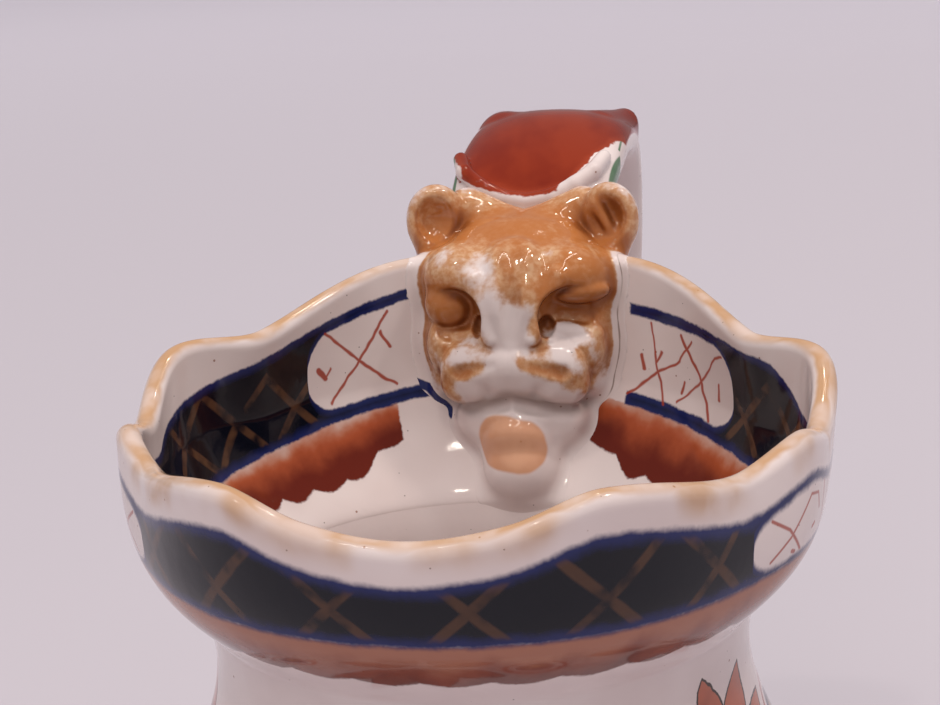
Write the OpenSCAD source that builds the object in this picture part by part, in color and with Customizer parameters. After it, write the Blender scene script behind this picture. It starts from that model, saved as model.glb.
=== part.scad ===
// Cream jug with a scalloped collar and an animal's head looking over the rim at the handle.
// Millimetres. The origin is the centre of the foot's underside: +Z up, spout towards -Y, handle towards +Y.

/* [Vessel] */
// Height of the seam where the collar is luted to the neck
seam_z = 72; // [68:1:80]
// Outer radius of the neck at that seam
seam_r = 33; // [32:0.5:34]
// Outer radius of the neck where it is narrowest
neck_r = 32.2; // [31:0.1:33]
// Greatest outer radius of the belly
belly_r = 43; // [40:0.5:46]
// Height of the belly's widest level
belly_z = 32; // [28:1:36]
// Thickness of the wall
wall = 3; // [2.5:0.1:3.5]

/* [Foot] */
// Outer radius of the foot ring
foot_r = 28; // [26:0.5:30]
// Height of the foot ring
foot_h = 6; // [5:0.5:8]
// Width of the ring that stands on the table
foot_w = 4; // [3:0.5:5]

/* [Collar] */
// How far the rim's scallops rise and fall, as a share of the drawn heights
scallop = 1; // [0.6:0.05:1.1]
// How far the scallops bulge in and out, as a share of the drawn radii
lobing = 1; // [0.5:0.05:1.1]
// Facets round the collar
collar_steps = 120; // [72:24:144]

/* [Handle] */
// Width of the strap at the top of its arch
strap_w = 24; // [20:1:26]
// Thickness of the strap
strap_t = 7.5; // [6:0.5:9]

/* [Hidden] */

waist_z = seam_z - 5;
floor_z = foot_h + 2.5;
porcelain = [0.93, 0.92, 0.90];
fawn = [0.78, 0.52, 0.25];
iron_red = [0.72, 0.22, 0.08];
flesh = [0.88, 0.56, 0.42];
soft = 24;

// A smooth curve through a table's rows; t runs from row i (0) to the next row (1).
function row(table, i) = table[max(0, min(len(table) - 1, i))];
function bend(a, b, c, d, t) =
    (2 * b + (c - a) * t + (2 * a - 5 * b + 4 * c - d) * t * t + (3 * b - a - 3 * c + d) * t * t * t) / 2;
function through(table, i, t) =
    bend(row(table, i - 1), row(table, i), row(table, i + 1), row(table, i + 2), t);

// The vessel's outer radius: an elliptical bowl below the belly, then an easy S up to the waist of the neck.
function ease(t) = (1 - cos(180 * t)) / 2;
function bowl_r(z) =
    foot_r - 1 + (belly_r - foot_r + 1) * sqrt(max(0, 1 - pow((belly_z - z) / (belly_z - foot_h + 0.15), 2)));
function shoulder_r(z) = neck_r + (belly_r - neck_r) * (1 - ease((z - belly_z) / (waist_z - belly_z)));
function neck_flare_r(z) = neck_r + (seam_r - neck_r) * pow((z - waist_z) / (seam_z - waist_z), 2);
function vessel_r(z) = z < belly_z ? bowl_r(z) : z < waist_z ? shoulder_r(z) : neck_flare_r(z);

// The rim's crest at each scallop and hollow, from the spout round to the handle: degrees, outer radius, height.
crest = [
    [0, 44, 22], [14, 44.5, 23.5], [27, 44.5, 26.3], [54, 40.5, 22.6], [72, 41.5, 24], [88, 41.7, 21.6],
    [106, 43.4, 26.9], [124, 39.3, 26.5], [157, 44.2, 31.8], [180, 43.6, 31.4]
];
crest_mean = [0, 42, 26];
last_knot = len(crest) - 1;
function turned(p, a) = [a, p[1], p[2]];
function knot(i) =
    i < 0 ? turned(crest[-i], -crest[-i][0]) :
    i > last_knot ? turned(crest[2 * last_knot - i], 360 - crest[2 * last_knot - i][0]) : crest[i];
function knot_before(a, i = 0) = i >= last_knot - 1 || a < crest[i + 1][0] ? i : knot_before(a, i + 1);
// A smooth curve from knot b to knot c, aiming along a to c and b to d; x is the angle.
function smooth_between(a, b, c, d, x) =
    let (h = c[0] - b[0], t = (x - b[0]) / h, m = (c - a) * h / (c[0] - a[0]), n = (d - b) * h / (d[0] - b[0]))
    (1 - 3 * t * t + 2 * t * t * t) * b + (t - 2 * t * t + t * t * t) * m
    + (3 * t * t - 2 * t * t * t) * c + (t * t * t - t * t) * n;
function from_spout(a) = a > 180 ? 360 - a : a;
function crest_at(a) =
    let (
        f = from_spout(a), i = knot_before(f),
        c = smooth_between(knot(i - 1), knot(i), knot(i + 1), knot(i + 2), f) - crest_mean
    )
    [crest_mean[1] + c[1] * lobing, crest_mean[2] + c[2] * scallop];

// The collar swells quickly above the seam and then stands nearly upright; its lobes grow towards the crest.
function swell(z) = 1 - exp(-pow(z / 6.7, 1.45));
function collar_out(c, z) =
    seam_r + (crest_mean[1] + (c[0] - crest_mean[1]) * pow(z / c[1], 1.6) - seam_r) * swell(z);
function collar_in(c, z) = collar_out(c, z) - wall - 0.7 * sin(min(180, 12 * z));
function around(a, r, z) = [r * sin(a), -r * cos(a), z];
levels = [for (i = [0:12]) pow(i / 12, 1.25)];
function collar_column(a) =
    let (c = crest_at(a), h = c[1] - wall * 0.4, r = collar_out(c, h))
    [
        for (t = levels) around(a, collar_out(c, h * t), seam_z + h * t),
        around(a, r - wall * 0.2, seam_z + h + wall * 0.3),
        around(a, r - wall * 0.5, seam_z + h + wall * 0.4),
        around(a, r - wall * 0.8, seam_z + h + wall * 0.3),
        for (i = [len(levels) - 1:-1:0]) around(a, collar_in(c, h * levels[i]), seam_z + h * levels[i])
    ];

// A closed ring of closed sections, each a list of points.
module closed_ring(sections) {
    n = len(sections);
    m = len(sections[0]);
    faces = [
        for (k = [0:n - 1]) for (i = [0:m - 1])
        let (l = (k + 1) % n, j = (i + 1) % m)
        each [[k * m + i, k * m + j, l * m + i], [k * m + j, l * m + j, l * m + i]]
    ];
    polyhedron([for (s = sections) each s], faces);
}

module collar_solid() {
    closed_ring([for (k = [0:collar_steps - 1]) collar_column(360 * k / collar_steps)]);
}

// The collar together with everything inside it, for cutting pieces that stop at its outer face.
module collar_filled() {
    collar_solid();
    translate([0, 0, seam_z]) cylinder(h = 21, r = 38, $fn = 60);
}

module vessel_outline(inset, low) {
    steps = 44;
    zs = [for (i = [0:steps]) low + (seam_z - low) * pow(i / steps, 1.3)];
    polygon([[0, low], for (z = zs) [vessel_r(z) - inset, z], [0, seam_z]]);
}

module vessel_envelope() {
    rotate_extrude($fn = 96) vessel_outline(0, foot_h);
}

module body() color(porcelain)
difference() {
    rotate_extrude($fn = 96) vessel_outline(0, foot_h);
    rotate_extrude($fn = 96) vessel_outline(wall, floor_z);
}

module foot_ring() color(porcelain)
rotate_extrude($fn = 96)
polygon([
    [foot_r - foot_w, 0], [foot_r, 0], [foot_r + 0.5, 0.8], [foot_r + 0.5, 1.8], [foot_r - 0.3, foot_h * 0.6],
    [foot_r - 0.3, foot_h], [foot_r - foot_w - 2, foot_h], [foot_r - foot_w - 1, foot_h * 0.4]
]);

module collar() color(porcelain) collar_solid();

// A ball at a place given from the centre line: across, towards the handle, above the seam.
module ball(across, back, up, r) {
    translate([across, back, seam_z + up]) sphere(r, $fn = soft);
}

module mirrored_pair() {
    children();
    mirror([1, 0, 0]) children();
}

// The whole head before the rim is cut out of it.
module head_mass() {
    // skull and crown
    hull() { mirrored_pair() ball(7.4, 41.5, 29, 6.8); ball(0, 42, 32.2, 6.6); ball(0, 38, 30, 6); }
    // back of the skull, over the rim
    hull() { mirrored_pair() ball(6.5, 46.5, 35, 3.6); mirrored_pair() ball(7, 41, 33, 4.5); }
    // cheeks, from the temples down to the corners of the muzzle
    mirrored_pair() hull() { ball(9.4, 37, 26.5, 4.9); ball(8.6, 36, 20, 4.4); ball(7.6, 35.5, 15.5, 4); }
    // forehead down the bridge of the nose
    hull() { mirrored_pair() ball(3.4, 36.4, 31, 3.6); mirrored_pair() ball(2, 32.8, 21.5, 2.2); }
    // brows
    mirrored_pair() hull() { ball(4.2, 34.6, 28.6, 2.5); ball(10.6, 37.2, 27.6, 2.5); }
    // eyes
    mirrored_pair() hull() { ball(7.4, 34.6, 23.8, 2.2); ball(9.6, 35.4, 23.8, 2.3); }
    // muzzle
    hull() { mirrored_pair() ball(6.6, 34.6, 17.4, 3.8); ball(0, 33.6, 18, 3.8); }
    // upper lip, drooping at both sides
    mirrored_pair() hull() { ball(1.8, 33.6, 15.4, 2.4); ball(7, 34.8, 13.8, 3.2); }
    // throat against the wall
    hull() { mirrored_pair() ball(7, 35.5, 13.5, 4); mirrored_pair() ball(8, 36, 26, 4.5); }
}

module head() color(fawn)
difference() {
    head_mass();
    collar_solid();
    handle_mass();
}

// A round ear, cupped on its front.
module ear_mass() {
    difference() {
        hull() { ball(12, 44.5, 35.6, 4.4); ball(10.4, 44.8, 34.4, 3.6); ball(12.4, 44.4, 31.6, 2.6); }
        hull() { ball(12.4, 39.6, 36.6, 2.2); ball(11.6, 40.4, 34, 1.8); }
    }
}

module ear_right() color(fawn)
difference() {
    ear_mass();
    head_mass();
    collar_solid();
    handle_mass();
}

module ear_left() color(fawn) mirror([1, 0, 0])
difference() {
    ear_mass();
    head_mass();
    collar_solid();
    handle_mass();
}

// The chin boss that carries the head down on to the collar's inner wall.
module jaw_mass() {
    hull() { mirrored_pair() ball(5.4, 33.4, 11.6, 3.6); mirrored_pair() ball(3, 30.4, 6, 3.8); }
    hull() { mirrored_pair() ball(4.4, 34, 11, 4); mirrored_pair() ball(2.6, 30.6, 5.6, 3.8); }
}

module tongue_mass() {
    hull() { mirrored_pair() ball(1.8, 28.4, 9, 2.2); ball(0, 27.6, 6.6, 2.2); }
}

module lower_jaw() color(porcelain)
difference() {
    jaw_mass();
    head_mass();
    collar_solid();
    tongue_mass();
    vessel_envelope();
}

module tongue() color(flesh)
difference() {
    tongue_mass();
    head_mass();
}

// The strap handle's centre line: towards the handle, above the seam, width and thickness as shares of the strap's.
loop_path = [
    [45.2, 22.6, 0.84, 1.3], [51, 31.5, 0.9, 1.15], [60.5, 38.2, 0.97, 1], [71.5, 41.6, 1, 0.95], [82, 39.4, 1, 0.9],
    [88.6, 31, 0.98, 0.9], [90.8, 18.5, 0.92, 0.9], [88.6, 4.5, 0.84, 0.9], [81.6, -8.5, 0.75, 0.92],
    [70, -19.5, 0.68, 0.95], [56.5, -26.6, 0.66, 1], [43, -30.5, 0.7, 1.1]
];
loop_stretch = 4;
section_steps = 28;
loop_line = [
    for (i = [0:len(loop_path) - 2]) for (k = [0:loop_stretch - 1]) through(loop_path, i, k / loop_stretch),
    loop_path[len(loop_path) - 1]
];
// A point of the strap's section: a flattened oval, blunter than an ellipse.
function blunt(v) = sign(v) * pow(abs(v), 0.72);
function strap_point(p, turn, s) =
    let (w = strap_w * p[2] / 2, t = strap_t * p[3] / 2, out = t * blunt(sin(s)))
    [w * blunt(cos(s)), p[0] - sin(turn) * out, seam_z + p[1] + cos(turn) * out];
function heading(i) =
    let (a = row(loop_line, i - 1), b = row(loop_line, i + 1))
    atan2(b[1] - a[1], b[0] - a[0]);

module handle_mass() {
    n = len(loop_line);
    m = section_steps;
    points = [
        for (i = [0:n - 1]) for (k = [0:m - 1]) strap_point(loop_line[i], heading(i), 360 * k / m)
    ];
    sides = [
        for (i = [0:n - 2]) for (k = [0:m - 1])
        let (j = (k + 1) % m)
        each [[i * m + k, i * m + j, (i + 1) * m + k], [i * m + j, (i + 1) * m + j, (i + 1) * m + k]]
    ];
    polyhedron(points, concat(
        [[for (k = [m - 1:-1:0]) k]], sides, [[for (k = [0:m - 1]) (n - 1) * m + k]]
    ));
}

module handle() color(porcelain)
difference() {
    handle_mass();
    collar_filled();
    vessel_envelope();
}

// The thumb rest: a raised saddle on top of the arch, with a rounded corner at each side.
module thumb_rest_mass() {
    edge = strap_w / 2 - 2.2;
    hull() {
        mirrored_pair() ball(edge - 2.5, 52, 37.8, 2.4);
        mirrored_pair() ball(edge - 0.5, 63, 43, 2.4);
        ball(0, 53, 36.4, 2.4);
        ball(0, 64, 44, 2.4);
    }
    hull() {
        mirrored_pair() ball(edge - 0.5, 63, 43, 2.4);
        ball(0, 64, 44, 2.4);
        mirrored_pair() ball(edge, 81, 42.2, 2.6);
        ball(0, 80, 43, 2.4);
    }
    mirrored_pair() hull() { ball(edge - 1.5, 68, 43.8, 2.6); ball(edge - 1.2, 82.5, 42, 3.2); }
}

module thumb_rest() color(iron_red)
difference() {
    thumb_rest_mass();
    handle_mass();
    head_mass();
}

// The leaf that spreads the strap's lower end on the belly.
module terminal_mass() {
    stem_z = -30.5;
    hull() { mirrored_pair() ball(3.5, 45, stem_z, 5.2); mirrored_pair() ball(6, 40, stem_z + 1, 4.8); }
    for (s = [-1, 0, 1]) hull() {
        ball(s * 2, 45, stem_z, 4.6);
        ball(s * 8.5, belly_r - 4.6, stem_z - 7 - 5 * (1 - abs(s)), 3);
    }
    mirrored_pair() hull() { ball(3, 44, stem_z, 4.4); ball(8, 37.5, stem_z + 6, 3); }
}

module lower_terminal() color(porcelain)
difference() {
    terminal_mass();
    vessel_envelope();
    handle_mass();
}

body();
foot_ring();
collar();
head();
ear_left();
ear_right();
lower_jaw();
tongue();
handle();
thumb_rest();
lower_terminal();
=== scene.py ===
"""A painted china cream jug: scalloped collar, and an animal's head that leans over the rim at the handle.

Lengths are in millimetres and heights are above the foot, unless a name says otherwise; meshes are made in
metres. The collar and the vessel are grids swept round the axis. The head and the handle are pressed out of
signed-distance "clay" and meshed. The painting is worked out by shader nodes from the place on the jug.
"""

import math

import bmesh
import bpy
import numpy as np
import openvdb
from mathutils import Matrix, Vector


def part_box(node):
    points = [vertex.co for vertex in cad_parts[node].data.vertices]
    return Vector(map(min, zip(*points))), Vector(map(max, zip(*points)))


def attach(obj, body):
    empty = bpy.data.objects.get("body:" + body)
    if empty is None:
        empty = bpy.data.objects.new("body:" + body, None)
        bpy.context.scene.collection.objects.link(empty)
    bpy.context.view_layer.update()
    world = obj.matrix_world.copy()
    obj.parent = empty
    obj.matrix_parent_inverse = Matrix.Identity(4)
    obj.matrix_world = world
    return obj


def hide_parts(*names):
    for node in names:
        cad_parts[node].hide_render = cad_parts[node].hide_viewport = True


MM = 0.001

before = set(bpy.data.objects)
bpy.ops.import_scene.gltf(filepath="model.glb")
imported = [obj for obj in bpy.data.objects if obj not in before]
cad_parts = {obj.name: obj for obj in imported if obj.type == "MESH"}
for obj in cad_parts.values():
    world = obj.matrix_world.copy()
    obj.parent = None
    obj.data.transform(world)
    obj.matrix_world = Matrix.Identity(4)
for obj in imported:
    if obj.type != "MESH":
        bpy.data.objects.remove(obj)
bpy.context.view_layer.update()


def top_mm(node):
    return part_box(node)[1].z / MM


def bottom_mm(node):
    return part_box(node)[0].z / MM


# ---------------------------------------------------------------- the jug's shape, as the CAD has it

SEAM = bottom_mm("collar")
SEAM_R = 33.0
NECK_R = 32.2
WAIST = SEAM - 5
WALL = 3.0
FOOT_H = top_mm("foot_ring")
FOOT_R = 28.0
FOOT_W = 4.0
BELLY_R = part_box("body")[1].x / MM
BELLY = 32.0
FLOOR = FOOT_H + 2.5
# a row of points this near to a corner keeps the corner crisp
HAIR = 0.006

# The rim's crest at each scallop and hollow, from the spout round to the handle: degrees, radius, height over
# the seam.
CREST = np.array([
    (0, 44, 22), (14, 44.5, 23.5), (27, 44.5, 26.3), (54, 40.5, 22.6), (72, 41.5, 24), (88, 41.7, 21.6),
    (106, 43.4, 26.9), (124, 39.3, 26.5), (157, 44.2, 31.8), (180, 43.6, 31.4),
])
BOWL_R = 42.0


def crest(turn):
    """The crest's radius and its height over the seam, at a turn in degrees from the spout."""
    turn = np.abs(np.asarray(turn, float))
    first, last = CREST[1].copy(), CREST[-2].copy()
    first[0], last[0] = -first[0], 360 - last[0]
    knots = np.vstack([first, CREST, last])
    i = np.clip(np.searchsorted(CREST[:, 0], turn, side="right"), 1, len(CREST) - 1)
    a, b, c, d = (knots[i + k] for k in range(-1, 3))
    h = (c - b)[..., :1]
    t = (turn[..., None] - b[..., :1]) / h
    m = (c - a) * h / (c - a)[..., :1]
    n = (d - b) * h / (d - b)[..., :1]
    place = (1 - 3 * t**2 + 2 * t**3) * b + (t - 2 * t**2 + t**3) * m
    place += (3 * t**2 - 2 * t**3) * c + (t**3 - t**2) * n
    return place[..., 1], place[..., 2]


def outer_radius(turn, over):
    """The collar's outer radius at a height over the seam."""
    radius, height = crest(turn)
    over = np.maximum(over, 0)
    lobed = BOWL_R + (radius - BOWL_R) * np.minimum(over / height, 1.2) ** 1.6
    return SEAM_R + (lobed - SEAM_R) * (1 - np.exp(-((over / 6.7) ** 1.45)))


def inner_radius(turn, over):
    return outer_radius(turn, over) - WALL - 0.7 * np.sin(np.radians(np.clip(12 * over, 0, 180)))


def vessel_radius(z):
    """The outer radius of the vessel below the seam."""
    bowl = FOOT_R - 1 + (BELLY_R - FOOT_R + 1) * np.sqrt(
        np.maximum(0, 1 - ((BELLY - z) / (BELLY - FOOT_H + 0.15)) ** 2))
    rise = np.clip((z - BELLY) / (WAIST - BELLY), 0, 1)
    shoulder = NECK_R + (BELLY_R - NECK_R) * (1 - (1 - np.cos(math.pi * rise)) / 2)
    flare = NECK_R + (SEAM_R - NECK_R) * ((z - WAIST) / (SEAM - WAIST)) ** 2
    return np.where(z < BELLY, bowl, np.where(z < WAIST, shoulder, flare))


def turn_of(x, y):
    """Degrees from the spout, which points to -Y, to either side."""
    return np.degrees(np.arctan2(np.abs(x), -y))


# ---------------------------------------------------------------- grids and meshes

def weld_axis(mesh):
    """Joins the points that a swept grid leaves in one place on the axis."""
    shape = bmesh.new()
    shape.from_mesh(mesh)
    bmesh.ops.remove_doubles(shape, verts=shape.verts, dist=1e-7)
    shape.to_mesh(mesh)
    shape.free()


def finish_mesh(name, points, faces, values=None, normals=None, merge=False):
    """A smooth mesh object from points in millimetres, with named numbers on its points."""
    mesh = bpy.data.meshes.new(name)
    mesh.from_pydata((np.asarray(points) * MM).tolist(), [], np.asarray(faces).tolist())
    for key, numbers in (values or {}).items():
        layer = mesh.attributes.new(key, "FLOAT", "POINT")
        layer.data.foreach_set("value", np.asarray(numbers, np.float32).ravel())
    if merge:
        weld_axis(mesh)
    mesh.polygons.foreach_set("use_smooth", [True] * len(mesh.polygons))
    mesh.update()
    if normals is not None:
        mesh.normals_split_custom_set_from_vertices(np.asarray(normals).tolist())
    piece = bpy.data.objects.new(name, mesh)
    bpy.context.scene.collection.objects.link(piece)
    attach(piece, "root")
    return piece


def swept_faces(rows, columns):
    """Faces of a grid that is closed round the axis; the section may be closed too."""
    row = np.arange(rows)[:, None]
    column = np.arange(columns)[None, :]
    after, beside = (row + 1) % rows, (column + 1) % columns
    corners = [row * columns + column, after * columns + column,
               after * columns + beside, row * columns + beside]
    return np.stack(np.broadcast_arrays(*corners), -1).reshape(-1, 4)


def lathe(name, section, values=None, steps=360):
    """A closed section (radius, height) turned round the axis."""
    section = np.asarray(section)
    turn = np.radians(np.arange(steps) * 360 / steps)[:, None]
    points = np.stack(np.broadcast_arrays(
        section[:, 0] * np.sin(turn), -section[:, 0] * np.cos(turn), section[:, 1]), -1).reshape(-1, 3)
    values = {key: np.tile(numbers, steps) for key, numbers in (values or {}).items()}
    return finish_mesh(name, points, swept_faces(steps, len(section)), values, merge=True)


def make_collar():
    steps = 720
    turn = (np.arange(steps) * 360 / steps)[:, None]
    signed = np.where(turn > 180, 360 - turn, turn)
    radius, height = crest(signed)
    stop = height - WALL * 0.5
    share = np.r_[0, HAIR / 30, np.linspace(0.016, 1, 56) ** 1.1][None, :]
    outside = outer_radius(signed, stop * share), SEAM + stop * share
    inside = inner_radius(signed, stop * share[:, ::-1]), SEAM + stop * share[:, ::-1]
    bend = np.radians(np.linspace(0, 180, 16)[1:-1])[None, :]
    edge = outer_radius(signed, stop) - WALL / 2
    rim = edge + WALL / 2 * np.cos(bend), SEAM + stop + WALL * 0.5 * np.sin(bend)
    under = np.full((steps, 2), SEAM_R) - np.array([WALL - HAIR, HAIR]), np.full((steps, 2), SEAM)
    r = np.hstack([outside[0], rim[0], inside[0], under[0]])
    z = np.hstack([outside[1], rim[1], inside[1], under[1]])
    points = np.stack([r * np.sin(np.radians(turn)), -r * np.cos(np.radians(turn)), z], -1)
    # "lip" is the way along the surface from the crest: below zero outside, above zero inside
    length = np.hypot(np.diff(r, axis=1), np.diff(z, axis=1))
    run = np.hstack([np.zeros((steps, 1)), np.cumsum(length, axis=1)])
    middle = outside[0].shape[1] + rim[0].shape[1] // 2
    lip = run - run[:, middle:middle + 1]
    piece = finish_mesh("collar_visual", points.reshape(-1, 3), swept_faces(steps, r.shape[1]),
                        {"lip": lip, "drop": SEAM + height - z})
    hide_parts("collar")
    return piece


def make_body():
    low, high = FOOT_H, SEAM
    outside_z = np.r_[low + (high - low) * np.linspace(0, 0.995, 150) ** 1.3, high - HAIR, high]
    inside_z = np.r_[high, high - HAIR, FLOOR + (high - FLOOR) * np.linspace(0.995, 0, 130) ** 1.3]
    under = [(r, low) for r in np.linspace(0, vessel_radius(low) - 0.4, 20)]
    floor = [(r, FLOOR) for r in np.linspace(vessel_radius(np.float64(FLOOR)) - WALL - 0.4, 0, 24)]
    section = under + list(zip(vessel_radius(outside_z), outside_z))
    section += [(SEAM_R - HAIR, SEAM), (SEAM_R - WALL + HAIR, SEAM)]
    section += list(zip(vessel_radius(inside_z) - WALL, inside_z)) + floor
    inside = np.arange(len(section)) >= len(under) + len(outside_z) + 1
    piece = lathe("body_visual", section, {"inside": inside.astype(float)})
    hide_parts("body")
    return piece


def arc(centre, radius, start, end, count):
    return [(centre[0] + radius * math.cos(math.radians(a)), centre[1] + radius * math.sin(math.radians(a)))
            for a in np.linspace(start, end, count)]


def make_foot_ring():
    inner = FOOT_R - FOOT_W
    section = [(r, 0.0) for r in np.linspace(inner + 0.8, FOOT_R - 0.6, 8)]
    section += arc((FOOT_R - 0.4, 0.9), 0.9, -90, 60, 8)
    section += [(FOOT_R - 0.3, z) for z in np.linspace(2.6, FOOT_H, 8)]
    section += [(inner - 2 + 0.3 * k, FOOT_H) for k in range(3)][::-1]
    section += arc((inner + 0.3, 1.1), 1.1, 150, 262, 8)
    piece = lathe("foot_ring_visual", section)
    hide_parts("foot_ring")
    return piece


# ---------------------------------------------------------------- clay: signed distances on a grid

class Form:
    """A shape's distance function and the box that it lies in."""

    def __init__(self, low, high, distance):
        self.low, self.high = np.array(low, float), np.array(high, float)
        self.distance = distance


def turned(degrees_x, degrees_z):
    """A rotation about X and then about Z, as the rows that take a place into the form's own axes."""
    return np.array((Matrix.Rotation(math.radians(degrees_z), 3, "Z")
                     @ Matrix.Rotation(math.radians(degrees_x), 3, "X")).transposed())


def egg(centre, radii, lean=0, swing=0):
    """An ellipsoid; it leans back about X and swings about Z, in degrees."""
    centre, radii = np.array(centre, float), np.array(radii, float)
    rows = turned(lean, swing)

    def distance(x, y, z):
        p = [row[0] * (x - centre[0]) + row[1] * (y - centre[1]) + row[2] * (z - centre[2]) for row in rows]
        near = np.sqrt(sum((q / r) ** 2 for q, r in zip(p, radii)))
        steep = np.sqrt(sum((q / r**2) ** 2 for q, r in zip(p, radii))) + 1e-6
        return near * (near - 1) / steep

    return Form(centre - radii.max(), centre + radii.max(), distance)


def limb(start, end, start_r, end_r):
    """A rounded stroke of clay from start to end."""
    a, b = np.array(start, float), np.array(end, float)
    way = b - a

    def distance(x, y, z):
        t = ((x - a[0]) * way[0] + (y - a[1]) * way[1] + (z - a[2]) * way[2]) / (way @ way)
        t = np.clip(t, 0, 1)
        off = (x - a[0] - t * way[0]) ** 2 + (y - a[1] - t * way[1]) ** 2 + (z - a[2] - t * way[2]) ** 2
        return np.sqrt(off) - (start_r + (end_r - start_r) * t)

    thick = max(start_r, end_r)
    return Form(np.minimum(a, b) - thick, np.maximum(a, b) + thick, distance)


def both(form):
    """The same form on both sides of the jug."""
    reach = max(abs(form.low[0]), abs(form.high[0]))
    return Form((-reach, *form.low[1:]), (reach, *form.high[1:]),
                lambda x, y, z: form.distance(np.abs(x), y, z))


def blend_in(a, b, soft):
    h = np.clip(0.5 + 0.5 * (b - a) / soft, 0, 1)
    return b + (a - b) * h - soft * h * (1 - h)


class Clay:
    """A block of signed distances in millimetres, which forms are pressed on to and carved from."""

    FAR = 9.0

    def __init__(self, low, high, pitch):
        self.low, self.pitch = np.array(low, float), pitch
        self.count = np.ceil((np.array(high) - self.low) / pitch).astype(int) + 1
        self.field = np.full(self.count, self.FAR, np.float32)

    def block(self, low, high):
        first = np.clip(np.floor((low - self.low) / self.pitch).astype(int), 0, self.count - 1)
        last = np.clip(np.ceil((high - self.low) / self.pitch).astype(int) + 1, first + 1, self.count)
        axes = [self.low[k] + self.pitch * np.arange(first[k], last[k]) for k in range(3)]
        axes = [axis.astype(np.float32) for axis in axes]
        span = tuple(slice(i, j) for i, j in zip(first, last))
        return span, np.meshgrid(*axes, indexing="ij", sparse=True)

    def press(self, form, soft=1.0):
        margin = soft + 1.5
        span, place = self.block(form.low - margin, form.high + margin)
        self.field[span] = blend_in(form.distance(*place), self.field[span], soft)

    def carve(self, form, soft=0.6):
        margin = soft + 0.5
        span, place = self.block(form.low - margin, form.high + margin)
        self.field[span] = -blend_in(form.distance(*place), -self.field[span], soft)

    def sample(self, points):
        """The field at places between the grid's own."""
        where = (points - self.low) / self.pitch
        base = np.clip(np.floor(where).astype(int), 0, self.count - 2)
        part = np.clip(where - base, 0, 1)
        total = np.zeros(len(points))
        for corner in np.ndindex(2, 2, 2):
            weight = np.prod(np.where(corner, part, 1 - part), axis=1)
            total += weight * self.field[tuple((base + corner).T)]
        return total

    def normals(self, points, reach=0.35):
        step = np.eye(3) * reach
        slope = np.stack([self.sample(points + s) - self.sample(points - s) for s in step], -1)
        return slope / (np.linalg.norm(slope, axis=1, keepdims=True) + 1e-9)

    def mesh(self):
        """Points, quads and outward normals of the clay's surface."""
        band = 4 * self.pitch
        grid = openvdb.FloatGrid(band)
        grid.copyFromArray(np.clip(self.field, -band, band).astype(np.float32))
        points, quads = grid.convertToQuads(0.0)
        points = points * self.pitch + self.low
        for _ in range(2):
            normal = self.normals(points)
            points = points - normal * self.sample(points)[:, None] * 0.9
        normal = self.normals(points)
        a, b, c, _ = (points[quads[:, k]] for k in range(4))
        facing = np.einsum("ij,ij->i", np.cross(b - a, c - a), normal[quads[:, 0]])
        if facing.mean() < 0:
            quads = quads[:, ::-1]
        return points, quads, normal


def hollows(clay, points, normals, reach):
    """How far each place lies in a crease, from 0 in the open to 1 deep down, where glaze pools and where the
    head's paint lays painted shade.
    """
    return np.clip(1 - clay.sample(points + normals * reach) / reach, 0, 1)


def split_pieces(points, quads, normals, owner, names, values):
    """Cuts one surface into named pieces that share their edges: owner gives each point's piece."""
    pieces = []
    face_owner = owner[quads].max(axis=1)
    for number, (name, slot, nodes) in enumerate(names):
        own = quads[face_owner == number]
        used, renumbered = np.unique(own, return_inverse=True)
        piece = finish_mesh(name, points[used], renumbered.reshape(-1, 4),
                            {key: v[used] for key, v in values.items()}, normals[used])
        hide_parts(*nodes)
        pieces.append(piece)
    return pieces


def collar_distance(x, y, z):
    """The distance to the collar's wall, near enough for soft seams."""
    turn = turn_of(x, y)
    stop = crest(turn)[1] - WALL * 0.5
    over = np.minimum(z - SEAM, stop)
    middle = (outer_radius(turn, over) + inner_radius(turn, over)) / 2
    beyond = np.maximum(z - SEAM - stop, 0)
    return np.hypot(np.hypot(x, y) - middle, beyond) - WALL / 2


# ---------------------------------------------------------------- the head

def over_seam(x, y, height):
    """A place given by its height over the collar's seam."""
    return np.array([x, y, SEAM + height])


def head_forms():
    """The clay of the head: what is pressed on, and how softly it runs into what is there."""
    at = over_seam
    return [
        (egg(at(0, 43.2, 28.4), (12.4, 8.4, 8.2)), 1.0),
        (both(egg(at(6.9, 38.9, 29.4), (6.0, 6.4, 5.0), lean=-12)), 1.8),
        (egg(at(0, 44.5, 31.6), (10.0, 6.5, 5.0)), 1.8),
        (both(limb(at(0.5, 47.4, 33.6), at(8.2, 48.8, 37.0), 3.1, 3.0)), 2.4),
        (both(limb(at(10.0, 39.6, 28), at(9.0, 37.2, 15.6), 2.6, 2.6)), 1.4),
        (limb(at(0, 38, 26), at(0, 37.4, 15), 8.4, 7.6), 2.0),
        (limb(at(0.2, 36.0, 31), at(0.2, 33.0, 22.4), 4.3, 2.6), 1.0),
        (limb(at(-5.0, 33.0, 30.2), at(-2.6, 30.4, 22.8), 1.6, 0.9), 0.6),
        (limb(at(6.6, 33.4, 30.6), at(3.0, 30.4, 22.8), 1.6, 0.9), 0.6),
        (both(egg(at(9.4, 36.8, 20.6), (3.0, 4.2, 4.4))), 1.2),
        (both(limb(at(0.6, 32.0, 18.9), at(6.2, 33.5, 18.2), 3.5, 3.9)), 0.35),
        (both(limb(at(5.2, 32.9, 16.4), at(7.0, 33.6, 16.2), 3.2, 3.2)), 0.5),
        (limb(at(-1.5, 30.9, 16.8), at(1.9, 30.9, 16.8), 1.7, 1.7), 0.8),
    ]


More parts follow.
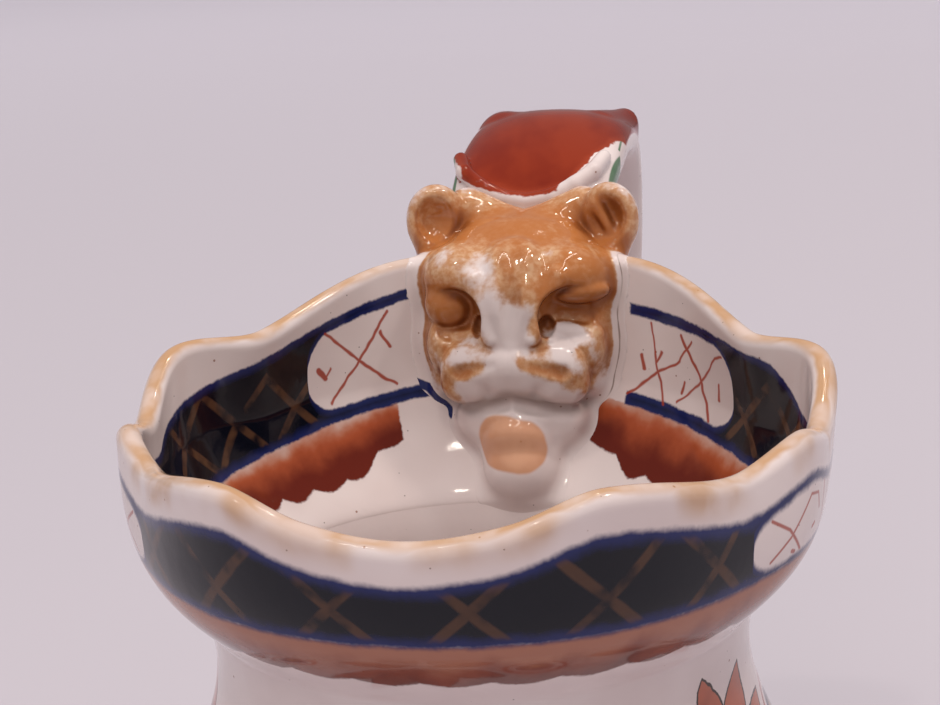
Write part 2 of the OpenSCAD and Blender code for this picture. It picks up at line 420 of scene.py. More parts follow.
def ear_forms():
    at = over_seam
    shell = [
        (both(egg(at(12.2, 45.8, 36.4), (4.1, 2.5, 4.7), swing=-14)), 0.8),
        (both(limb(at(12.9, 45.2, 34.4), at(12.6, 43.6, 29.6), 2.7, 1.7)), 1.4),
    ]
    cup = both(egg(at(11.6, 42.2, 36.9), (3.0, 3.3, 3.4), swing=-24))
    return shell, cup


def jaw_forms():
    at = over_seam
    return [
        (limb(at(-4.8, 35.6, 10.4), at(5.8, 35.6, 10.4), 3.8, 3.8), 1.2),
        (limb(at(0.5, 36.0, 9.4), at(0.7, 32.2, 4.4), 6.8, 5.2), 2.0),
    ]


def tongue_form():
    return egg(over_seam(0.4, 30.9, 8.3), (4.3, 2.4, 3.8), lean=30)


def model_head():
    clay = Clay(over_seam(-21, 25, -3), over_seam(21, 53, 43), 0.25)
    head, (ears, cup), jaw = head_forms(), ear_forms(), jaw_forms()
    at = over_seam
    for form, soft in head:
        clay.press(form, soft)
    # the dip between the lobes and down the nose, the eye sockets under their brows, and the eyes
    clay.carve(limb(at(0.2, 34.0, 36.2), at(0.3, 30.2, 32.6), 1.6, 1.4), 2.2)
    clay.carve(limb(at(0.2, 29.6, 31), at(0.2, 28.5, 23.4), 2.0, 1.4), 0.8)
    clay.carve(egg(at(-8.4, 31.0, 25.5), (4.7, 4.8, 4.2), swing=-14), 0.45)
    clay.carve(egg(at(8.6, 31.2, 25.7), (4.9, 4.8, 4.2), swing=14), 0.45)
    clay.press(egg(at(-9.0, 36.6, 26.4), (3.4, 3.5, 3.5), swing=-14), 0.7)
    clay.press(egg(at(9.0, 36.0, 28.2), (3.9, 2.9, 1.7), swing=14, lean=-10), 0.4)
    clay.press(limb(at(5.6, 34.6, 23.1), at(10.8, 35.4, 22.3), 1.2, 1.2), 0.5)
    clay.press(limb(at(-10.6, 35.4, 22.2), at(-5.6, 34.4, 22.4), 1.1, 0.8), 0.6)
    clay.carve(both(egg(at(4.7, 32.6, 24.0), (1.2, 2.6, 1.5))), 0.4)
    clay.carve(both(limb(at(7.2, 29.2, 18.5), at(2.6, 28.0, 19.8), 1.2, 1.0)), 0.5)
    for form, soft in ears:
        clay.press(form, soft)
    clay.carve(cup, 1.0)
    clay.press(limb(at(10.6, 44.9, 38.0), at(12.6, 44.4, 34.4), 0.8, 0.7), 1.0)
    for form, soft in jaw:
        clay.press(form, soft)
    clay.press(tongue_form(), 0.8)
    clay.carve(both(limb(at(0.4, 29.4, 14.0), at(7.8, 31.6, 12.0), 1.2, 1.0)), 0.6)
    bare = clay.field.copy()
    # the glaze fills the corner between the head and the collar's wall
    place = clay.block(clay.low, clay.low + clay.count * clay.pitch)[1]
    wall = collar_distance(*place).astype(np.float32)
    clay.field = blend_in(bare, wall, 2.6) - 0.05
    clay.field = np.maximum(clay.field, bare - 2.6)
    wall_depth = Clay(clay.low, clay.low + (clay.count - 1) * clay.pitch, clay.pitch)
    wall_depth.field = wall
    return clay, wall_depth, bare


def main_owner(points, groups):
    """The group whose forms lie nearest to each point."""
    x, y, z = points.T
    reach = [np.min([form.distance(x, y, z) for form, _ in group], axis=0) for group in groups]
    return np.argmin(reach, axis=0)


# Washes of ochre on the head: across, back, over the seam, radius, strength; below zero leaves the glaze
# white.
HEAD_WASHES = [
    (-6, 39, 34, 7, 1.0), (6, 39, 34, 7, 1.2), (0, 46, 36, 8, 1.3), (-11, 37, 28, 5, 1.1),
    (11, 37, 28, 5.5, 1.3),
    (-8, 34, 26.5, 4.4, 1.4), (8, 34, 27.5, 4.4, 1.3), (5.0, 33.0, 28, 2.6, 1.1), (3.6, 31.0, 24, 1.8, 1.2),
    (0.5, 33, 31, 4.5, 0.9), (-4.6, 33, 28, 1.2, 0.6), (-2.9, 31, 23.5, 1.0, 0.8),
    (0.4, 30.5, 22.6, 0.7, 0.5),
    (-11.4, 36, 20, 3.0, 1.2), (11.4, 36, 20.5, 3.0, 1.1), (-9.9, 33, 15.6, 2.2, 1.6),
    (9.8, 33, 16.4, 2.2, 1.7),
    (-8.2, 31, 17.7, 1.4, 1.2), (-6.2, 29.9, 18.3, 1.4, 1.3), (-4.2, 29.0, 19.2, 1.3, 1.1),
    (-7.4, 31, 14.4, 1.8, 1.0),
    (1.8, 28.6, 20.0, 1.2, 1.0), (3.6, 28.8, 19.3, 1.4, 1.2), (5.6, 29.6, 18.4, 1.4, 1.4),
    (7.6, 30.8, 16.8, 1.6, 1.4),
    (-9.4, 32, 20.6, 1.6, 0.9), (9.2, 32, 20.8, 1.6, 0.8), (12, 45, 36, 4.6, 1.4), (-12, 45, 36, 4.6, 1.3),
    (13, 44, 31, 3, 1.2), (-13, 44, 31, 3, 1.2), (4.5, 30, 21.9, 1.5, 0.8), (-3.4, 30, 21.9, 1.5, 0.6),
    (-2.2, 32.4, 27.4, 2.2, -0.9), (0.3, 31.4, 25, 2.2, -1.1), (-3.8, 34, 31.4, 2.8, -1.0),
    (2.0, 33, 31, 2, -0.5),
    (-9.4, 35.6, 32.6, 2.2, -0.7), (5.0, 35, 33.8, 1.4, -1.1), (7.4, 33.6, 22.8, 2.3, -2.2),
    (0.5, 30, 6, 9.0, -2.0),
]


def wash(points, spots):
    total = np.zeros(len(points))
    for x, y, height, radius, strength in spots:
        off = points - over_seam(x, y, height)
        total += strength * np.exp(-(off**2).sum(1) / radius**2)
    return total


def segment_nearness(points, start, end, radius):
    a, way = start, end - start
    t = np.clip((points - a) @ way / (way @ way), 0, 1)
    return 1 - np.linalg.norm(points - a - t[:, None] * way, axis=1) / radius


def make_head():
    clay, wall, bare = model_head()
    alone = Clay(clay.low, clay.low + (clay.count - 1) * clay.pitch, clay.pitch)
    alone.field = bare
    points, quads, normals = clay.mesh()
    groups = [head_forms(), ear_forms()[0], jaw_forms(), [(tongue_form(), 0)]]
    owner = main_owner(points, groups)
    x, y, z = points.T
    owner = np.where(owner == 1, np.where(x < 0, 1, 2), np.where(owner > 1, owner + 1, 0))
    at = over_seam
    # how much of a place belongs to the wall's own white glaze, at the foot of the soft corner
    skirt = np.clip(1.0 - wall.sample(points) / 0.9, 0, 1)
    flat = np.column_stack([x, np.full(len(x), 36.0), z])
    line = [(-15.4, 15.4), (-12.6, 14.3), (-10.8, 12.2), (-9.3, 10.6)]
    ends = [at(a, 36.0, b) for a, b in line]
    blue = np.max([segment_nearness(flat, a, b, 0.75) for a, b in zip(ends, ends[1:])], axis=0)
    lip = [(-10.0, 13.2), (-6.2, 12.6), (-3.2, 13.9), (-0.3, 15.3), (2.4, 14.8), (5.8, 13.0), (9.2, 12.4)]
    ends = [at(a, 36.0, b) for a, b in lip]
    mouth = np.max([segment_nearness(flat, a, b, 1.6) for a, b in zip(ends, ends[1:])], axis=0)
    values = {
        "ochre": wash(points, HEAD_WASHES) - 2.5 * skirt,
        "mouth": mouth,
        "hollow": hollows(clay, points, normals, 2.2),
        "tongue": segment_nearness(points, at(-1.9, 29.0, 8.9), at(1.0, 29.0, 8.2), 3.9),
        "away": alone.sample(points),
        "blue": blue - 3 * (1 - np.clip(skirt * 3, 0, 1)),
    }
    names = [
        ("head_visual", "glaze_fawn", ["head"]), ("ear_left_visual", "glaze_fawn", ["ear_left"]),
        ("ear_right_visual", "glaze_fawn", ["ear_right"]),
        ("lower_jaw_visual", "glaze_white", ["lower_jaw"]),
        ("tongue_visual", "glaze_flesh", ["tongue"]),
    ]
    return split_pieces(points, quads, normals, owner, names, values)


# ---------------------------------------------------------------- the handle

# The strap's centre line: towards the handle, over the seam, half width, half thickness, how far its top is
# dished, and how far it leans to the right.
STRAP = np.array([
    (44.5, 21, 9.8, 4.6, 0.6, 0), (48, 30, 10.6, 4.4, 1.6, 0), (54, 36.4, 11.4, 4.2, 1.2, 0.1),
    (62, 40.6, 11.8, 4.2, 0.1, 0.6), (72, 42.9, 11.8, 4.1, -0.7, 1.2), (82, 40.6, 12.0, 4.0, -0.4, 1.3),
    (88.4, 32, 11.8, 3.7, 0, 1.3), (90.6, 19, 11.3, 3.5, 0, 1.2), (88.4, 4.5, 10.3, 3.4, 0, 0.9),
    (81.6, -8.5, 9.1, 3.4, 0, 0.5), (70, -19.5, 8.3, 3.5, 0, 0.2), (56.5, -26.6, 8.1, 3.7, 0, 0),
    (43, -30.5, 8.6, 4.2, 0, 0),
])


def strap_line(stretch=14):
    """The strap's centre line in small steps, with the way along it as a last column."""
    rows = np.vstack([2 * STRAP[0] - STRAP[1], STRAP, 2 * STRAP[-1] - STRAP[-2]])
    line = []
    for a, b, c, d in zip(rows, rows[1:], rows[2:], rows[3:]):
        for t in np.arange(stretch) / stretch:
            bend, twist = 2 * a - 5 * b + 4 * c - d, 3 * b - a - 3 * c + d
            line.append((2 * b + (c - a) * t + bend * t**2 + twist * t**3) / 2)
    line = np.array(line + [STRAP[-1]])
    run = np.r_[0, np.cumsum(np.hypot(*np.diff(line[:, :2], axis=0).T))]
    return np.column_stack([line, run])


def strap_place(y, z):
    """How far places lie off the strap's centre line, above zero on top, and the line's values there."""
    line = strap_line()
    y, over = np.asarray(y, float), np.asarray(z, float) - SEAM
    best = np.full(y.shape, 1e9)
    off = np.zeros(y.shape)
    found = np.zeros(y.shape + (line.shape[1],))
    for a, b in zip(line, line[1:]):
        way = b[:2] - a[:2]
        size = way @ way
        t = np.clip(((y - a[0]) * way[0] + (over - a[1]) * way[1]) / size, 0, 1)
        dy, dz = y - a[0] - t * way[0], over - a[1] - t * way[1]
        far = np.hypot(dy, dz)
        near = far < best
        best = np.where(near, far, best)
        off = np.where(near, np.where(way[0] * dz - way[1] * dy > 0, far, -far), off)
        found = np.where(near[..., None], a + t[..., None] * (b - a), found)
    return off, found


def strap_distance(x, y, z, blunt=2.6):
    """The distance to the strap. y and z are one row and one column, as the clay gives them."""
    off, found = strap_place(*np.broadcast_arrays(y, z))
    half, thick, dish, lean = (found[..., k] for k in range(2, 6))
    across = np.abs(x - lean) / half
    off = off - dish * (across**2 - 0.4)
    return ((across**blunt + np.abs(off / thick) ** blunt) ** (1 / blunt) - 1) * thick


def rest_forms():
    """The thumb rest: a roll of clay along its front edge, and a raised corner at each side at the back."""
    at = over_seam
    front = [(0.2, 49.9, 37.8), (3.6, 50.2, 38.4), (6.8, 51.2, 39.9), (9.3, 53.6, 41.4), (10.4, 57.5, 42.6)]
    forms = [(both(limb(at(*a), at(*b), 1.15, 1.05)), 0.4) for a, b in zip(front, front[1:])]
    forms.append((limb(at(8.0, 75, 44.2), at(10.9, 83.4, 43.6), 2.2, 2.3), 1.4))
    forms.append((limb(at(-6.6, 74, 44.2), at(-8.0, 83.6, 43.4), 2.4, 2.4), 2.2))
    return forms


def terminal_forms():
    at = over_seam
    forms = [(both(limb(at(3.0, 45.6, -30), at(6.0, 40.6, -29), 4.6, 4.4)), 1.2)]
    for across, drop in ((-9, 8.5), (-4.6, 12.5), (0, 14.5), (4.6, 12.5), (9, 8.5)):
        reach = vessel_radius(SEAM - 30 - drop) - 1.4
        back = math.sqrt(reach**2 - across**2)
        forms.append((limb(at(across * 0.45, 44.6, -31), at(across, back, -30 - drop), 3.2, 1.9), 0.8))
    forms.append((both(limb(at(4, 42.4, -28), at(9.4, 37.4, -22), 3.2, 1.8)), 0.8))
    return forms


def make_handle():
    clay = Clay(over_seam(-17, 36, -50), over_seam(17, 97, 49), 0.4)
    x, y, z = clay.block(clay.low, clay.low + clay.count * clay.pitch)[1]
    clay.field = strap_distance(x, y, z).astype(np.float32)
    for form, soft in rest_forms() + terminal_forms():
        clay.press(form, soft)
    place = clay.block(clay.low, clay.low + clay.count * clay.pitch)[1]
    wall = collar_distance(*place).astype(np.float32)
    vessel = (np.hypot(place[0], place[1]) - vessel_radius(place[2].astype(float))) * 0.9
    wall = np.where(place[2] < SEAM, vessel, wall).astype(np.float32)
    bare = clay.field.copy()
    clay.field = np.maximum(blend_in(bare, wall, 3.0) - 0.05, bare - 3.0)
    points, quads, normals = clay.mesh()
    off, found = strap_place(points[:, 1], points[:, 2])
    rest = ((off > found[:, 3] * 0.15) & (found[:, -1] > 8) & (found[:, -1] < 48)).astype(int)
    owner = np.where(points[:, 2] - SEAM < -16, np.where(points[:, 1] < 52, 2, 0), rest)
    values = {"along": found[:, -1], "off": off / found[:, 3]}
    names = [
        ("handle_visual", "glaze_white", ["handle"]), ("thumb_rest_visual", "glaze_red", ["thumb_rest"]),
        ("lower_terminal_visual", "glaze_white", ["lower_terminal"]),
    ]
    return split_pieces(points, quads, normals, owner, names, values)


# ---------------------------------------------------------------- paint: numbers and colours made by nodes

class Wire:
    """A number inside a paint's node tree, with the sums that patterns need."""

    def __init__(self, paint, socket):
        self.paint, self.socket = paint, socket

    def __add__(self, other):
        return self.paint.math("ADD", self, other)

    def __radd__(self, other):
        return self.paint.math("ADD", other, self)

    def __sub__(self, other):
        return self.paint.math("SUBTRACT", self, other)

    def __rsub__(self, other):
        return self.paint.math("SUBTRACT", other, self)

    def __mul__(self, other):
        return self.paint.math("MULTIPLY", self, other)

    def __rmul__(self, other):
        return self.paint.math("MULTIPLY", other, self)

    def __truediv__(self, other):
        return self.paint.math("DIVIDE", self, other)

    def __neg__(self):
        return self.paint.math("MULTIPLY", self, -1.0)

    def __abs__(self):
        return self.paint.math("ABSOLUTE", self)

    def __pow__(self, other):
        return self.paint.math("POWER", self, other)

    def low(self, other):
        return self.paint.math("MINIMUM", self, other)

    def high(self, other):
        return self.paint.math("MAXIMUM", self, other)

    def step(self, start, end):
        """0 where this is at start, 1 where it is at end, and smooth between."""
        return self.paint.step(self, start, end)


class Paint:
    """One glazed material. Layers go over each other, from the white body up to the last brush stroke."""

    def __init__(self, name):
        self.material = bpy.data.materials.new(name)
        self.material.use_nodes = True
        self.tree = self.material.node_tree
        self.tree.nodes.clear()
        place = self.node("ShaderNodeTexCoord").outputs["Object"]
        self.place = self.vector("SCALE", place, scale=1 / MM)
        split = self.node("ShaderNodeSeparateXYZ")
        self.tree.links.new(self.place, split.inputs[0])
        self.x, self.y, self.z = (Wire(self, split.outputs[k]) for k in range(3))
        self.turn = self.math("ARCTAN2", self.x, -self.y) * math.degrees(1)
        self.over = self.z - SEAM
        self.colour = None

    def node(self, kind, **settings):
        made = self.tree.nodes.new(kind)
        for key, value in settings.items():
            setattr(made, key, value)
        return made

    def feed(self, socket, value):
        if isinstance(value, Wire):
            self.tree.links.new(value.socket, socket)
        elif isinstance(value, bpy.types.NodeSocket):
            self.tree.links.new(value, socket)
        else:
            socket.default_value = value

    def math(self, operation, *values):
        made = self.node("ShaderNodeMath", operation=operation)
        for socket, value in zip(made.inputs, values):
            self.feed(socket, value)
        return Wire(self, made.outputs[0])

    def vector(self, operation, *values, scale=None):
        made = self.node("ShaderNodeVectorMath", operation=operation)
        for socket, value in zip(made.inputs, values):
            self.feed(socket, value)
        if scale is not None:
            self.feed(made.inputs["Scale"], scale)
        return made.outputs["Value"] if operation in ("LENGTH", "DOT_PRODUCT") else made.outputs["Vector"]

    def step(self, value, start, end):
        made = self.node("ShaderNodeMapRange", interpolation_type="SMOOTHSTEP")
        for socket, number in zip(made.inputs, (value, start, end)):
            self.feed(socket, number)
        return Wire(self, made.outputs[0])

    def number(self, name):
        made = self.node("ShaderNodeAttribute", attribute_name=name)
        return Wire(self, made.outputs["Fac"])

    def noise(self, size, detail=2.0, stretch=(1, 1, 1), seed=0.0):
        """Soft noise from 0 to 1 whose clouds are about size millimetres wide."""
        where = self.vector("MULTIPLY", self.place, [s / size for s in stretch])
        where = self.vector("ADD", where, (seed, seed * 1.7, -seed))
        made = self.node("ShaderNodeTexNoise", noise_dimensions="3D")
        self.feed(made.inputs["Vector"], where)
        self.feed(made.inputs["Scale"], 1.0)
        self.feed(made.inputs["Detail"], detail)
        return Wire(self, made.outputs["Fac"])

    def specks(self, size, share, seed=0.0):
        """Small scattered dots: a cell of about size millimetres has one, and share sets its own size."""
        where = self.vector("ADD", self.vector("SCALE", self.place, scale=1 / size), (seed, -seed, seed))
        made = self.node("ShaderNodeTexVoronoi", feature="F1")
        self.feed(made.inputs["Vector"], where)
        self.feed(made.inputs["Scale"], 1.0)
        return self.step(Wire(self, made.outputs["Distance"]), share, share * 0.6)

    def mixed(self, mask, under, over):
        made = self.node("ShaderNodeMix", data_type="RGBA")
        self.feed(made.inputs["Factor"], mask)
        for socket, value in zip(made.inputs[6:8], (under, over)):
            self.feed(socket, value if isinstance(value, bpy.types.NodeSocket) else (*value, 1.0))
        return made.outputs[2]

    def coat(self, mask, colour):
        """Lays a colour over what is there, where mask is 1."""
        self.colour = self.mixed(mask, self.colour, colour)

    def flat(self, u, v):
        """A place on an unrolled surface, for strokes."""
        made = self.node("ShaderNodeCombineXYZ")
        self.feed(made.inputs[0], u)
        self.feed(made.inputs[1], v)
        return made.outputs[0]

    def stroke(self, place, start, end, width, taper=0.0, soft=0.12):
        """A brush stroke from start to end on an unrolled surface, thinner towards its end by taper."""
        a, b = Vector((*start, 0)), Vector((*end, 0))
        way = b - a
        off = self.vector("SUBTRACT", place, a)
        along = Wire(self, self.vector("DOT_PRODUCT", off, way / way.length_squared))
        along = along.high(0.0).low(1.0)
        off = self.vector("SUBTRACT", off, self.vector("SCALE", way, scale=along))
        half = width / 2 if not taper else (1.0 - along * taper) * (width / 2)
        distance = Wire(self, self.vector("LENGTH", off)) - half
        return distance.step(soft, -soft)

    def strokes(self, place, lines):
        """The strokes in lines: each is a width and the points that it joins."""
        mask = None
        for width, *points in lines:
            for start, end in zip(points, points[1:]):
                one = self.stroke(place, start, end, width)
                mask = one if mask is None else mask.high(one)
        return mask

    def finish(self, roughness=0.09, bump=None, gloss=0.36):
        """The glaze: clear and glossy, faintly uneven."""
        shader = self.node("ShaderNodeBsdfPrincipled")
        self.feed(shader.inputs["Base Color"], self.colour)
        shader.inputs["Roughness"].default_value = roughness
        shader.inputs["IOR"].default_value = 1.45
        shader.inputs["Specular IOR Level"].default_value = gloss
        relief = self.node("ShaderNodeBump")
        ripple = self.noise(5.0, 1.0, seed=4) * 1.6 + self.noise(1.1, 1.0, seed=9) * 0.22
        self.feed(relief.inputs["Height"], ripple if bump is None else ripple + bump)
        relief.inputs["Strength"].default_value = 0.5
        relief.inputs["Distance"].default_value = 0.08 * MM
        self.feed(shader.inputs["Normal"], relief.outputs[0])
        output = self.node("ShaderNodeOutputMaterial")
        self.tree.links.new(shader.outputs[0], output.inputs[0])
        return self.material


WHITE = (0.76, 0.655, 0.63)
SPECK = (0.10, 0.07, 0.06)
NAVY = (0.004, 0.0045, 0.009)
COBALT = (0.014, 0.020, 0.100)
COPPER = (0.115, 0.052, 0.026)
SALMON = (0.52, 0.23, 0.14)
ORANGE = (0.43, 0.088, 0.030)
MAROON = (0.12, 0.012, 0.005)
IRON_RED = (0.36, 0.045, 0.018)
TAN = (0.50, 0.27, 0.12)
OCHRE = (0.52, 0.22, 0.055)
BROWN = (0.22, 0.065, 0.015)
PEACH = (0.70, 0.34, 0.17)
LEAF_GREEN = (0.03, 0.14, 0.05)
UMBER = (0.05, 0.03, 0.025)


def white_glaze(paint):
    """The body under a clear glaze: warm and cool clouds, and the dark specks of the firing."""
    cloud = paint.noise(14, 2).step(0.35, 0.7)
    paint.colour = paint.mixed(cloud, WHITE, (0.70, 0.585, 0.56))
    paint.coat(paint.specks(2.3, 0.055, 3) * 0.7, SPECK)
    paint.coat(paint.specks(3.4, 0.06, 8) * 0.75, BROWN)


def brushed(paint, edge, seed, wobble=0.5, size=2.2):
    """An edge as a brush leaves it: the distance to it, shaken a little."""
    broad, fine = paint.noise(size, 2, seed=seed), paint.noise(0.5, 1, seed=seed)
    return edge + (broad - 0.5) * wobble + (fine - 0.5) * 0.25


def lattice(paint, turn, over, middle, spread, pitch, start):
    """Crossed lustre strokes in a row of cells round the collar; the cells are pitch degrees wide."""
    cell = paint.math("WRAP", turn - start, pitch / 2, -pitch / 2) * (math.radians(1) * BOWL_R)
    height = over - middle
    crossed = abs(abs(cell) - abs(height) * spread)
    thick = 0.50 + paint.noise(4, 1, seed=12) * 0.45
    return (crossed - thick).step(0.35, -0.2)


def paint_cobalt(paint, inside):
    """How dark the cobalt stands: blue at its brushed edges, nearly black where it is thick."""
    thick = (inside + (paint.noise(3.2, 2, seed=21) - 0.5) * 1.0).step(0.1, 1.7)
    return paint.mixed(thick, COBALT, NAVY)


# The red crosses and ticks in the white reserves inside the collar: width, then degrees round and mm over
# the seam.
INNER_MARKS = [
    (0.42, (-139.5, 24.1), (-146.8, 19.2), (-154.8, 15.0)),
    (0.42, (-153.8, 25.4), (-146.3, 18.6), (-139.6, 14.1)),
    (0.5, (-152.0, 22.7), (-153.8, 20.5)), (0.75, (-137.6, 19.0), (-138.8, 17.6)),
    (0.3, (-138.8, 17.6), (-140.5, 18.9)),
    (0.36, (152.5, 23.7), (150.9, 18.2), (148.4, 13.2)),
    (0.38, (157.2, 13.9), (150.9, 17.0), (145.0, 19.3), (141.7, 22.6)),
    (0.5, (144.8, 23.0), (139.1, 18.0), (135.5, 12.7)),
    (0.36, (145.1, 13.9), (139.2, 17.0), (134.0, 21.4), (131.4, 21.9)),
    (0.5, (154.4, 19.4), (154.0, 17.3)), (0.4, (149.8, 20.1), (150.8, 18.4)),
    (0.45, (144.4, 15.3), (143.6, 16.9)),
    (0.45, (132.9, 17.9), (133.0, 15.9)),
]
# The same outside, where each side's reserve is symmetrical about its middle.
RESERVE_START, RESERVE_MIDDLE = 54.5, 79.0
OUTER_MARKS = [
    (0.4, (59.5, 16.7), (64.4, 14.7), (69.2, 11.2)), (0.36, (59.5, 12.0), (65.0, 13.7), (71.5, 17.2)),
    (0.36, (71.5, 17.2), (75.0, 16.6), (76.0, 14.6)), (0.5, (65.8, 11.9), (66.8, 11.6)),
    (0.5, (74.2, 13.2), (73.2, 13.0)),
    (0.4, (79.0, 17.6), (79.0, 10.6)),
]


def rounded_reserve(reach, half, corner=4.6):
    """The half height of a reserve with a rounded end, at a way past that end."""
    ease = 1.0 - (reach / corner).high(0.0).low(1.0)
    return (1.0 - ease * ease).high(0.0) ** 0.5 * half - reach.step(0.3, -0.3) * 9


def inner_scheme(paint, drop):
    """The painting on the collar's inside wall."""
    turn, over = paint.turn, paint.over
    side = paint.x.step(-2, 2)
    around = abs(turn)
    left_top = 18.8 + (around - 93) * 0.145
    right_top = 26.0 - (156 - around) * 0.055 - around.step(118, 104) * 4.2
    top = left_top * (1 - side) + right_top * side
    front = around.step(96, 88)
    top = top * (1 - front) + (over + drop - 4.6) * front
    bottom = 9.0 + (around - 107) * 0.075
    bottom = bottom.high(8.2) - side * 0.4
    # the graded border below the band
    scallop = abs(paint.math("SINE", around * 0.34)) * 0.9
    hem = 4.5 - scallop + around.step(138, 156) * 4.2 * (1 - side) + around.step(150, 165) * 3.6 * side
    end = 154.4 * (1 - side) + 164.2 * side
    border = (over - hem).low((end - around) * 0.7).low(bottom + 0.4 - over)
    graded = ((over - hem) / (bottom - hem)).high(0.0).low(1.0)
    patch = paint.noise(4.5, 3, seed=31)
    shade = graded + (patch - 0.5) * 0.6
    colour = paint.mixed(shade.step(1.05, 0.7), SALMON, ORANGE)
    colour = paint.mixed(shade.step(0.9, 0.25) * 0.97, colour, MAROON)
    fade = shade.step(1.25, 0.8)
    paint.coat(brushed(paint, border, 5, 0.5).step(0.0, 0.35) * (0.25 + 0.75 * fade), colour)
    # the band, left open for the reserve beside the head
    start = 134.3 * (1 - side) + 127.6 * side
    low, high = bottom + 1.9, top - 1.7
    half = (high - low) / 2
    reserve = rounded_reserve((around - start) * 0.7, half) - abs(over - (high + low) / 2)
    band = (top - over).low(over - bottom).low(-reserve)
    ends = ((157.6 - around) * 0.7) * side + (1 - side) * 3
    band = brushed(paint, band.low(ends), 7, 0.55)
    paint.coat(band.step(-0.12, 0.28), paint_cobalt(paint, band))
    crosses = lattice(paint, turn, over, 15.0, 1.05, 15.0, 4.0) * band.step(1.0, 1.6)
    paint.coat(crosses * paint.noise(3, 2, seed=44).step(0.3, 0.62) * 0.75, COPPER)
    where = paint.flat(turn * 0.7, over)
    where = paint.vector("ADD", where, paint.vector("SCALE", paint.flat(
        paint.noise(2.5, 1, seed=61) - 0.5, paint.noise(2.5, 1, seed=67) - 0.5), scale=0.9))
    marks = [(width, *[(a * 0.7, b) for a, b in points]) for width, *points in INNER_MARKS]
    paint.coat(paint.strokes(where, marks) * 0.92, IRON_RED)


def outer_scheme(paint, drop):
    """The painting on the collar's outside."""
    turn, over = paint.turn, paint.over
    around = abs(turn)
    bottom = 10.3
    band = (drop - 4.4).low(over - bottom)
    folded = RESERVE_MIDDLE - abs(around - RESERVE_MIDDLE)
    low, high = bottom + 0.9, over + drop - 5.6
    half = (high - low) / 2
    reserve = rounded_reserve((folded - RESERVE_START) * 0.73, half) - abs(over - (high + low) / 2)
    hem = 4.6 - abs(paint.math("SINE", turn * 0.28)) * 0.8
    border = (over - hem).low(bottom + 0.4 - over)
    patch = paint.noise(6, 3, seed=33, stretch=(1, 1, 0.6))
    shade = ((over - hem) / 5.5 + (patch - 0.5) * 0.9)
    colour = paint.mixed(shade.step(0.9, 0.35), (0.36, 0.13, 0.07), (0.21, 0.042, 0.018))
    colour = paint.mixed(shade.step(0.45, 0.0) * 0.85, colour, (0.10, 0.014, 0.008))
    paint.coat(brushed(paint, border, 15, 0.5).step(-0.1, 0.35) * 0.94, colour)
    band = brushed(paint, band.low(-reserve), 17, 0.6)
    paint.coat(band.step(-0.5, 0.5), paint_cobalt(paint, band - 0.3))
    crosses = lattice(paint, turn, over, 14.7, 1.0, 360 / 19, 8.5) * band.step(0.6, 1.4)
    paint.coat(crosses * paint.noise(3.5, 2, seed=45).step(0.28, 0.6) * 0.62, COPPER)
    where = paint.flat(folded * 0.73, over)
    marks = [(width, *[(a * 0.73, b) for a, b in points]) for width, *points in OUTER_MARKS]
    paint.coat(paint.strokes(where, marks) * reserve.step(-0.2, 0.4) * 0.85, IRON_RED)


def collar_paint():
    paint = Paint("collar_glaze")
    white_glaze(paint)
    lip, drop = paint.number("lip"), paint.number("drop")
    base = paint.colour
    outer_scheme(paint, drop)
    outside = paint.colour
    paint.colour = base
    inner_scheme(paint, drop)
    paint.colour = paint.mixed(lip.step(-0.4, 0.4), outside, paint.colour)
    # the ochre line along the rim, worn and smudged
    worn = paint.noise(7, 3, seed=51)
    line = (abs(lip) + (worn - 0.5) * 3.0).step(1.7, 0.7)
    smudge = (lip + 2.6 + (paint.noise(9, 2, seed=53) - 0.5) * 3).step(-2.4, 0.4) * lip.step(1.4, -0.6)
    smudge = smudge * paint.noise(11, 2, seed=55, stretch=(1, 1, 0.4)).step(0.42, 0.6)
    paint.coat(line.high(smudge * 0.8) * (0.35 + 0.55 * worn.step(0.3, 0.6)), TAN)
    return paint.finish()


def leaf(paint, place, root, tip, width):
    """A painted leaf: its mask, and how far across it a place lies, from 0 at its edge to 1 on its rib."""
    a, b = Vector((*root, 0)), Vector((*tip, 0))
    way = b - a
    off = paint.vector("SUBTRACT", place, a)
    along = Wire(paint, paint.vector("DOT_PRODUCT", off, way / way.length_squared))
    aside = abs(Wire(paint, paint.vector("DOT_PRODUCT", off, Vector((-way.y, way.x, 0)) / way.length)))
    half = (along * (1.0 - along) * 4.0).high(0.0) * (width / 2)
    beyond = (abs(along - 0.5) - 0.5).high(0.0) * way.length
    return half - aside - beyond * 3, along


